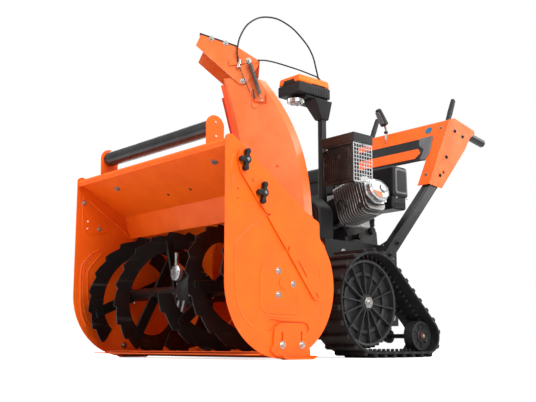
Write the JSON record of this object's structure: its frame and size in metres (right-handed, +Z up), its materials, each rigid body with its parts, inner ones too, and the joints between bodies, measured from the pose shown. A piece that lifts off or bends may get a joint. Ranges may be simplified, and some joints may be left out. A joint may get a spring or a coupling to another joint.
{
  "type": "snow blower",
  "caption": "Tracked two-stage snow blower with an orange auger housing, tall turning chute, petrol engine and operator console.",
  "frame": {"origin": "ground level, under the middle of the whole machine's box", "axes": "+Z up, -Y towards the auger housing's mouth, +X to the operator's left when standing behind and facing the mouth"},
  "size_m": [0.8776, 1.53, 1.231],
  "materials": {
    "orange_paint": "bright orange powder coat",
    "black_paint": "satin black paint",
    "plain_steel": "plain steel",
    "black_rubber": "black rubber",
    "track_rubber": "black moulded rubber",
    "black_plastic": "black moulded plastic",
    "case_iron": "black painted casting",
    "cast_aluminium": "die-cast aluminium"
  },
  "bodies": {
    "root": {"air_box": "black_plastic", "auger_housing": "orange_paint", "belt_cover": "black_plastic", "bumper_bar": "black_paint", "bumper_bracket_left": "orange_paint", "bumper_bracket_right": "orange_paint", "chassis": "black_paint", "control_head": "black_plastic", "control_head_cap": "orange_paint", "control_post": "black_paint", "dash": "orange_paint", "drive_belt": "black_rubber", "engine_block": "cast_aluminium", "fuel_tank": "black_paint", "gearcase": "case_iron", "handle_left": "black_paint", "handle_right": "black_paint", "impeller_housing": "orange_paint", "muffler": "plain_steel", "recoil_cover": "black_plastic", "scraper_bar": "black_paint", "side_plate_left": "orange_paint", "side_plate_right": "orange_paint", "transmission": "cast_aluminium", "valve_cover": "cast_aluminium"},
    "augers": {"auger_left": "black_paint", "auger_right": "black_paint", "auger_shaft": "plain_steel"},
    "impeller_unit": {"impeller": "orange_paint", "impeller_shaft": "plain_steel", "impeller_pulley": "plain_steel"},
    "crank": {"engine_pulley": "plain_steel"},
    "chute_unit": {"chute": "orange_paint", "deflector_spring": "plain_steel", "deflector_cable": "black_rubber", "chute_cable": "black_rubber"},
    "deflector_unit": {"deflector": "orange_paint"},
    "gear_unit": {"chute_gear": "plain_steel"},
    "drive_unit": {"drive_axle": "plain_steel", "drive_wheel_left": "black_plastic", "drive_wheel_right": "black_plastic"},
    "track_unit": {"track_left": "track_rubber", "track_right": "track_rubber", "track_frame_left": "black_paint", "track_frame_right": "black_paint"},
    "idler_left_unit": {"rear_idler_left": "black_plastic"},
    "idler_right_unit": {"rear_idler_right": "black_plastic"},
    "shoe_left_unit": {"skid_shoe_left": "orange_paint"},
    "shoe_right_unit": {"skid_shoe_right": "orange_paint"},
    "cutter_left_unit": {"drift_cutter_left": "orange_paint"},
    "cutter_right_unit": {"drift_cutter_right": "orange_paint"},
    "knob_left_upper_unit": {"cutter_knob_left_upper": "black_plastic"},
    "knob_left_lower_unit": {"cutter_knob_left_lower": "black_plastic"},
    "knob_right_upper_unit": {"cutter_knob_right_upper": "black_plastic"},
    "knob_right_lower_unit": {"cutter_knob_right_lower": "black_plastic"},
    "clutch_left_unit": {"clutch_lever_left": "black_plastic"},
    "clutch_right_unit": {"clutch_lever_right": "black_plastic"},
    "speed_lever_unit": {"speed_lever": "black_plastic"},
    "cap_unit": {"fuel_cap": "black_plastic"},
    "recoil_unit": {"recoil_handle": "black_plastic"}
  },
  "joints": [
    {"name": "auger_spin", "type": "hinge", "parent": "root", "child": "augers", "pos_m": [0, -0.55199, 0.215], "axis": [1, 0, 0], "continuous": true},
    {"name": "impeller_spin", "type": "hinge", "parent": "root", "child": "impeller_unit", "pos_m": [0, -0.26499, 0.215], "axis": [0, 1, 0], "continuous": true},
    {"name": "engine_spin", "type": "hinge", "parent": "root", "child": "crank", "pos_m": [0, -0.04749, 0.52], "axis": [0, 1, 0], "continuous": true},
    {"name": "chute_swivel", "type": "hinge", "parent": "root", "child": "chute_unit", "pos_m": [0.02, -0.24199, 0.48], "axis": [0, 0, 1], "range_deg": [-55, 135], "deforming": ["deflector_cable", "chute_cable"]},
    {"name": "deflector_tilt", "type": "hinge", "parent": "chute_unit", "child": "deflector_unit", "pos_m": [-0.04428, -0.31859, 0.952], "axis": [0.766, -0.6428, 0], "range_deg": [0, 50], "deforming": ["deflector_spring"]},
    {"name": "chute_gear_spin", "type": "hinge", "parent": "root", "child": "gear_unit", "pos_m": [0, -0.09899, 0.94], "axis": [0, 0, 1], "range_deg": [-165, 405]},
    {"name": "track_drive", "type": "hinge", "parent": "root", "child": "drive_unit", "pos_m": [0, -0.12599, 0.177], "axis": [1, 0, 0], "continuous": true},
    {"name": "track_tilt", "type": "hinge", "parent": "root", "child": "track_unit", "pos_m": [0, -0.12599, 0.177], "axis": [1, 0, 0], "range_deg": [-6, 6]},
    {"name": "idler_left_spin", "type": "hinge", "parent": "track_unit", "child": "idler_left_unit", "pos_m": [0.345, 0.14401, 0.0727], "axis": [1, 0, 0], "continuous": true},
    {"name": "idler_right_spin", "type": "hinge", "parent": "track_unit", "child": "idler_right_unit", "pos_m": [-0.345, 0.14401, 0.0727], "axis": [1, 0, 0], "continuous": true},
    {"name": "shoe_left_height", "type": "slide", "parent": "root", "child": "shoe_left_unit", "axis": [0, 0, 1], "range_m": [-0.034, 0]},
    {"name": "shoe_right_height", "type": "slide", "parent": "root", "child": "shoe_right_unit", "axis": [0, 0, 1], "range_m": [-0.034, 0]},
    {"name": "cutter_left_slide", "type": "slide", "parent": "root", "child": "cutter_left_unit", "axis": [0, -0.6018, 0.7986], "range_m": [0, 0.27]},
    {"name": "cutter_right_slide", "type": "slide", "parent": "root", "child": "cutter_right_unit", "axis": [0, -0.6018, 0.7986], "range_m": [0, 0.27]},
    {"name": "knob_left_upper_turn", "type": "hinge", "parent": "root", "child": "knob_left_upper_unit", "pos_m": [0.42, -0.69999, 0.552], "axis": [1, 0, 0], "continuous": true},
    {"name": "knob_left_lower_turn", "type": "hinge", "parent": "root", "child": "knob_left_lower_unit", "pos_m": [0.42, -0.63499, 0.46575], "axis": [1, 0, 0], "continuous": true},
    {"name": "knob_right_upper_turn", "type": "hinge", "parent": "root", "child": "knob_right_upper_unit", "pos_m": [-0.42, -0.69999, 0.552], "axis": [-1, 0, 0], "continuous": true},
    {"name": "knob_right_lower_turn", "type": "hinge", "parent": "root", "child": "knob_right_lower_unit", "pos_m": [-0.42, -0.63499, 0.46575], "axis": [-1, 0, 0], "continuous": true},
    {"name": "clutch_left_squeeze", "type": "hinge", "parent": "root", "child": "clutch_left_unit", "pos_m": [0.205, 0.55701, 0.915], "axis": [-1, 0, 0], "range_deg": [0, 50], "stiffness_Nm_per_rad": 1.5, "springref_deg": -20.05},
    {"name": "clutch_right_squeeze", "type": "hinge", "parent": "root", "child": "clutch_right_unit", "pos_m": [-0.205, 0.55701, 0.915], "axis": [-1, 0, 0], "range_deg": [0, 50], "stiffness_Nm_per_rad": 1.5, "springref_deg": -20.05},
    {"name": "speed_select", "type": "hinge", "parent": "root", "child": "speed_lever_unit", "pos_m": [-0.055, 0.49001, 0.905], "axis": [1, 0, 0], "range_deg": [-20, 15]},
    {"name": "fuel_cap_turn", "type": "hinge", "parent": "root", "child": "cap_unit", "pos_m": [-0.11, 0.18001, 0.74], "axis": [0, 0, 1], "continuous": true},
    {"name": "recoil_pull", "type": "slide", "parent": "root", "child": "recoil_unit", "axis": [0, 1, 0], "range_m": [0, 0.6], "stiffness_N_per_m": 20, "springref_m": -0.02}
  ],
  "couplings": [
    {"joint": "impeller_spin", "follows": "auger_spin", "ratio": 10},
    {"joint": "chute_gear_spin", "follows": "chute_swivel", "ratio": 3},
    {"joint": "idler_left_spin", "follows": "track_drive", "ratio": 2.9943},
    {"joint": "idler_right_spin", "follows": "track_drive", "ratio": 2.9943}
  ]
}
